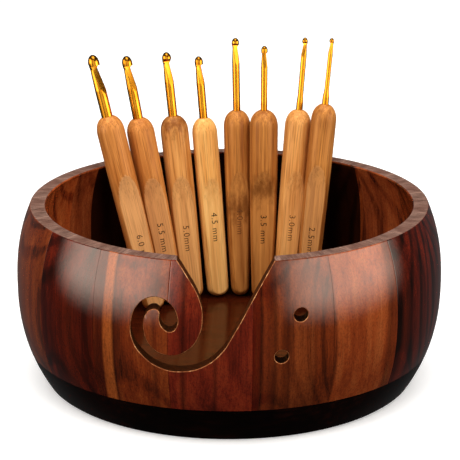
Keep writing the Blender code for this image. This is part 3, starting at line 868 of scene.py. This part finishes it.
def handle_radius(handle, belly, end, height):
    drop = handle - height
    taper = max(0.0, (drop - BELLY_DROP) / (handle - BELLY_DROP))
    return (belly - (belly - end) * taper**2) / 2


def thumb_flat(handle, belly, height):
    """How far the thumb flat's surface is from the axis at a height."""
    depth = belly / 2 - THUMB_OFFSET
    run = math.sqrt(THUMB_RUNOUT**2 - (THUMB_RUNOUT - depth) ** 2)
    level_top = handle - THUMB_DROP - run
    if height <= level_top:
        return THUMB_OFFSET
    rise = min(height - level_top, THUMB_RUNOUT * 0.9)
    return THUMB_OFFSET + THUMB_RUNOUT - math.sqrt(THUMB_RUNOUT**2 - rise**2)


def soft_least(a, b, width):
    share = max(0.0, min(1.0, 0.5 + 0.5 * (b - a) / width))
    return b + (a - b) * share - width * share * (1.0 - share)


def dome_height(share):
    """Height of the handle's dome above its foot, at a share of its radius."""
    return DOME_LENGTH * max(0.0, 1.0 - share**DOME_POWER) ** (1.0 / DOME_POWER)


def handle_profile(handle, belly, end, bore):
    bottom = handle - TANG_DEPTH - CLEARANCE
    dome_base = handle - DOME_LENGTH
    lip = bore + BORE_EASE
    mouth = dome_base + dome_height(lip / (belly / 2))
    profile = [(0.0, bottom), (bore, bottom), (bore, mouth - BORE_EASE)]
    profile += arc((lip, mouth - BORE_EASE), BORE_EASE, 180, 90, 4)[1:-1]
    for angle in between(math.asin(lip / (belly / 2)), math.pi / 2, 24):
        profile.append((belly / 2 * math.sin(angle), dome_base + dome_height(math.sin(angle))))
    for height in between(dome_base, END_LENGTH, HANDLE_ROWS)[1:]:
        profile.append((handle_radius(handle, belly, end, height), height))
    for angle in between(math.pi / 2, 0.0, 12)[1:]:
        radius = handle_radius(handle, belly, end, END_LENGTH) * math.sin(angle)
        profile.append((radius, END_LENGTH * (1.0 - math.cos(angle))))
    return profile


def make_handle(size, stance, material):
    *lengths, thumb_turn, _ = HOOKS[size]
    handle, _, belly, end = (length * MM for length in lengths)
    ahead = polar(1.0, math.radians(thumb_turn), 0.0)
    bore = max(float(size) * MM, SHANK_MINIMUM) / 2 + CLEARANCE

    def planed(point):
        """Moves a point of the turned shape back to the thumb flat."""
        reach = point.dot(ahead)
        if reach <= 0.0 or point.xy.length <= bore + CLEARANCE:
            return point
        flat = thumb_flat(handle, belly, point.z)
        return point + ahead * (soft_least(reach, flat, THUMB_BLEND) - reach)

    name = named("bamboo", size)
    mesh = turned(name, handle_profile(handle, belly, end, bore), HANDLE_SIDES, planed)
    mesh.materials.append(material)
    flat = mesh.attributes.new("flat", "FLOAT", "POINT")
    for vertex in mesh.vertices:
        short = thumb_flat(handle, belly, vertex.co.z) - vertex.co.dot(ahead)
        outside = vertex.co.xy.length > bore + CLEARANCE
        flat.data[vertex.index].value = 1.0 if outside and short < THUMB_MARGIN else 0.0
    smooth(mesh, 60)
    node = node_name(size) + "_handle"
    settle(new_object(name, mesh, stance), node_name(size), slot_of(node), node)
    make_mark(size, stance, ahead)


def make_mark(size, stance, ahead):
    """The size, burnt into the thumb flat and read downwards."""
    text, drop, darkness = HOOK_MARKS[size]
    handle = HOOKS[size][0] * MM
    curve = bpy.data.curves.new(named("mark", size), "FONT")
    curve.body = text
    curve.size = MARK_HEIGHT
    curve.space_character = MARK_SPACING
    curve.align_x = "CENTER"
    curve.align_y = "CENTER"
    curve.extrude = MARK_DEPTH
    curve.resolution_u = 3
    down = Vector((0.0, 0.0, -1.0))
    right = ahead.cross(down)
    along = Matrix((down, right, ahead)).transposed().to_4x4()
    place = Matrix.Translation(ahead * THUMB_OFFSET + Vector((0.0, 0.0, handle - drop * MM)))
    source = new_object(curve.name + "_source", curve, stance @ place @ along)
    bpy.context.view_layer.update()
    mesh = bpy.data.meshes.new_from_object(source.evaluated_get(bpy.context.evaluated_depsgraph_get()))
    mesh.materials.clear()
    mesh.materials.append(ink(curve.name + "_ink", darkness))
    obj = new_object(curve.name, mesh, source.matrix_world.copy())
    bpy.data.objects.remove(source)
    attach(obj, node_name(size))


def shaft_sections(size, shaft):
    """Rings down the metal hook, as (height, radius, set back from the axis, tilt of the ring)."""
    radius = size / 2
    sections = []
    for angle in between(0.0, math.pi / 2, 16):
        height = shaft - size * HEAD_DOME * (1.0 - math.cos(angle))
        sections.append((height, radius * math.sin(angle), 0.0, 0.0))
    sections.append((shaft - size * LIP_DROP, size * LIP_RADIUS, 0.0, 0.0))
    for share in between(0.0, 1.0, 6)[1:]:
        drop = LIP_DROP + (NECK_DROP - LIP_DROP) * share
        ease = math.sin(share * math.pi / 2)
        width = LIP_RADIUS + (NECK_RADIUS - LIP_RADIUS) * ease
        sections.append((shaft - size * drop, size * width, size * NECK_SETBACK * ease,
                         THROAT_TILT * ease))
    for share in between(0.0, 1.0, 14)[1:]:
        drop = NECK_DROP + (TAPER_DROP - NECK_DROP) * share
        width = NECK_RADIUS + (0.5 - NECK_RADIUS) * share
        sections.append((shaft - size * drop, size * width, size * NECK_SETBACK * (1.0 - share),
                         THROAT_TILT * (1.0 - share) ** 4))
    foot = shaft - size * RAMP_DROP
    sections += [(height, radius, 0.0, 0.0) for height in between(shaft - size * TAPER_DROP, foot, 4)[1:]]
    tang = max(radius, SHANK_MINIMUM / 2)
    for share in between(0.0, 1.0, 8):
        ease = share * share * (3.0 - 2.0 * share)
        height = SHANK_TOP + (SHANK_BOTTOM - SHANK_TOP) * share
        sections.append((height, radius + (tang - radius) * ease, 0.0, 0.0))
    return [*sections, (0.0, tang, 0.0, 0.0), (-TANG_DEPTH, tang, 0.0, 0.0), (-TANG_DEPTH, 0.0, 0.0, 0.0)]


def flat_of_ramp(size, shaft, height):
    """How far in front of the axis the ramp's flat is at a height; above the lip, nothing is cut."""
    drop = (shaft - height) / size
    if drop <= LIP_DROP:
        return size
    share = (drop - NECK_DROP) / (RAMP_DROP - NECK_DROP)
    return size * (NECK_FLAT + (0.5 - NECK_FLAT) * max(0.0, share))


def make_shaft(size, stance, material):
    *lengths, _, throat_turn = HOOKS[size]
    handle, shaft, _, _ = (length * MM for length in lengths)
    diameter = float(size) * MM
    ahead = polar(1.0, math.radians(throat_turn), 0.0)
    rings = []
    for height, radius, setback, tilt in shaft_sections(diameter, shaft):
        flat = flat_of_ramp(diameter, shaft, height)
        ring = []
        for side in range(SHAFT_SIDES):
            point = polar(radius, math.tau * side / SHAFT_SIDES, 0.0) - ahead * setback
            reach = point.dot(ahead)
            point += ahead * (soft_least(reach, flat, RAMP_BLEND * diameter) - reach)
            point.z = height + tilt * max(0.0, reach + setback)
            ring.append(point)
        rings.append(ring)
    name = named("metal", size)
    mesh = rings_mesh(name, rings, closed_ends=False)
    mesh.materials.append(material)
    smooth(mesh, 40)
    obj = new_object(name, mesh, stance @ Matrix.Translation((0.0, 0.0, handle)))
    node = node_name(size) + "_shaft"
    settle(obj, node_name(size), slot_of(node), node)


def make_hooks():
    metal = gold()
    honey = (rgb(238, 172, 98), rgb(192, 120, 54))
    orange = (rgb(222, 148, 76), rgb(176, 102, 42))
    yellow = (rgb(252, 196, 116), rgb(226, 156, 78))
    brown = (rgb(206, 136, 66), rgb(152, 88, 36))
    tints = {
        # tones, seed, how much paler the thumb flat is by wear and painted light, then how dark and how
        # high a mottled patch is
        "6.0": (*orange, 1, 0.50), "5.5": (*orange, 2, 0.38), "5.0": (*honey, 3, 0.28, 0.9, 98 * MM),
        "4.5": (*yellow, 4, 0.15), "4.0": (*brown, 5, 0.04, 0.75, 49 * MM),
        "3.5": (*brown, 6, 0.04, 0.7, 61 * MM), "3.0": (*honey, 7, 0.12), "2.5": (*brown, 8, 0.22),
    }
    for size in HOOKS:
        stance = hook_stance(size)
        make_handle(size, stance, bamboo(named("bamboo", size), *tints[size]))
        make_shaft(size, stance, metal)


# Studio


def rectangle(name, half_width, half_height):
    mesh = bpy.data.meshes.new(name)
    corners = [(x * half_width, y * half_height, 0.0) for x, y in ((-1, -1), (1, -1), (1, 1), (-1, 1))]
    mesh.from_pydata(corners, [], [(0, 1, 2, 3)])
    return mesh


def aim(obj, place, axis):
    """Puts it at a place with this axis of its own towards the middle of the object."""
    obj.location = place
    obj.rotation_euler = (MIDDLE - Vector(place)).to_track_quat(axis, "Y").to_euler()


def make_floor():
    mesh = rectangle("floor", STUDIO_HALF, STUDIO_HALF)
    tree = Tree("floor_white")
    mesh.materials.append(tree.finish(base_color=(0.92, 0.92, 0.92, 1.0), roughness=0.9,
                                      specular_ior_level=0.0, emission_color=(1.0, 1.0, 1.0, 1.0),
                                      emission_strength=0.28))
    floor = new_object("floor", mesh)
    floor.location.z = -STUDIO_DROP
    floor.visible_glossy = False
    floor.visible_diffuse = False


def soft_light(name, place, width, height, power, colour=(1.0, 1.0, 1.0)):
    """A lamp that lights the object but isn't mirrored in it."""
    light = bpy.data.lights.new(name, "AREA")
    light.shape = "RECTANGLE"
    light.size = width
    light.size_y = height
    light.energy = power
    light.color = colour
    obj = new_object(name, light)
    aim(obj, place, "-Z")
    obj.visible_glossy = False


def reflection_card(name, place, width, height, glow, seen_by, tint=(1.0, 0.90, 0.78, 1.0)):
    """A soft panel that only these pieces mirror, brightest at its middle and top."""
    half_width, half_height = width / 2, height / 2
    mesh = rectangle(name, half_width, half_height)
    tree = Tree(name)
    x, y, _ = tree.split(tree.place())
    side = tree.shade(tree.maths("ABSOLUTE", x), half_width * 0.3, half_width, 1.0, 0.0)
    rise = tree.shade(y, -half_height, -half_height * 0.1)
    strength = tree.maths("MULTIPLY", tree.maths("MULTIPLY", side, rise), glow)
    emission = tree.add("ShaderNodeEmission", {"Color": tint, "Strength": strength})
    clear = tree.add("ShaderNodeBsdfTransparent", {})
    both = tree.add("ShaderNodeAddShader", {0: emission.outputs[0], 1: clear.outputs[0]})
    tree.links.new(both.outputs[0], tree.nodes["Material Output"].inputs["Surface"])
    tree.material.cycles.emission_sampling = "NONE"
    mesh.materials.append(tree.material)
    card = new_object(name, mesh)
    aim(card, place, "Z")
    card.visible_camera = False
    card.visible_diffuse = False
    card.visible_shadow = False
    card.light_linking.receiver_collection = seen_by


def pieces_on(name, bodies):
    """A collection of the pieces that ride on these bodies."""
    collection = bpy.data.collections.new(name)
    for obj in bpy.data.objects:
        if obj.get("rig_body") in bodies and "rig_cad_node" not in obj:
            collection.objects.link(obj)
    return collection


def make_world():
    """A dim surround, a little brighter behind the object than in front of it."""
    world = bpy.data.worlds.new("studio")
    world.use_nodes = True
    bpy.context.scene.world = world
    nodes, links = world.node_tree.nodes, world.node_tree.links
    direction = nodes.new("ShaderNodeTexCoord").outputs["Generated"]
    parts = nodes.new("ShaderNodeSeparateXYZ")
    links.new(direction, parts.inputs[0])
    ramp = nodes.new("ShaderNodeMapRange")
    ramp.interpolation_type = "SMOOTHSTEP"
    links.new(parts.outputs[1], ramp.inputs["Value"])
    for key, value in {"From Min": 0.1, "From Max": 0.9, "To Min": 0.02, "To Max": 0.08}.items():
        ramp.inputs[key].default_value = value
    links.new(ramp.outputs[0], nodes["Background"].inputs["Strength"])
    nodes["Background"].inputs["Color"].default_value = (1.0, 1.0, 1.0, 1.0)


def make_camera():
    camera = bpy.data.cameras.new("camera")
    camera.lens = CAMERA_LENS
    camera.sensor_width = 36.0
    camera.shift_x = CAMERA_SHIFT
    obj = new_object("camera", camera)
    obj.location = CAMERA_PLACE
    obj.rotation_euler = (math.radians(90 - CAMERA_TILT), 0.0, 0.0)
    bpy.context.scene.camera = obj


def make_studio():
    make_floor()
    make_world()
    make_camera()
    bpy.context.scene.view_settings.view_transform = "Standard"
    warm = (1.0, 0.95, 0.9)
    peach = (1.0, 0.80, 0.66, 1.0)
    sides = ((-1, "left"), (1, "right"))
    soft_light("top", (0.0, -0.1, 1.5), 1.8, 1.8, 34.0)
    for side, name in sides:
        soft_light(f"front_{name}", (0.9 * side, -1.1, 0.7), 1.0, 1.0, 12.0, warm)
        soft_light(f"side_{name}", (1.2 * side, 0.15, 0.9), 1.0, 0.8, 5.0, warm)
    bowl = pieces_on("bowl_pieces", {"bowl"})
    hooks = pieces_on("hook_pieces", {node_name(size) for size in HOOKS})
    for side, name in sides:
        reflection_card(f"bowl_card_{name}", (0.91 * side, -0.47, 0.20), 1.8, 0.9, 6.2, bowl, peach)
        reflection_card(f"hook_card_{name}", (0.95 * side, -0.40, 0.20), 1.5, 0.9, 3.6, hooks)
    reflection_card("hook_card_front", (0.0, -1.25, 0.35), 1.6, 1.4, 1.0, hooks)
    reflection_card("hook_card_top", (0.0, -0.30, 1.30), 1.4, 1.0, 2.4, hooks)


def main():
    make_base()
    make_wall()
    make_hooks()
    make_studio()


main()
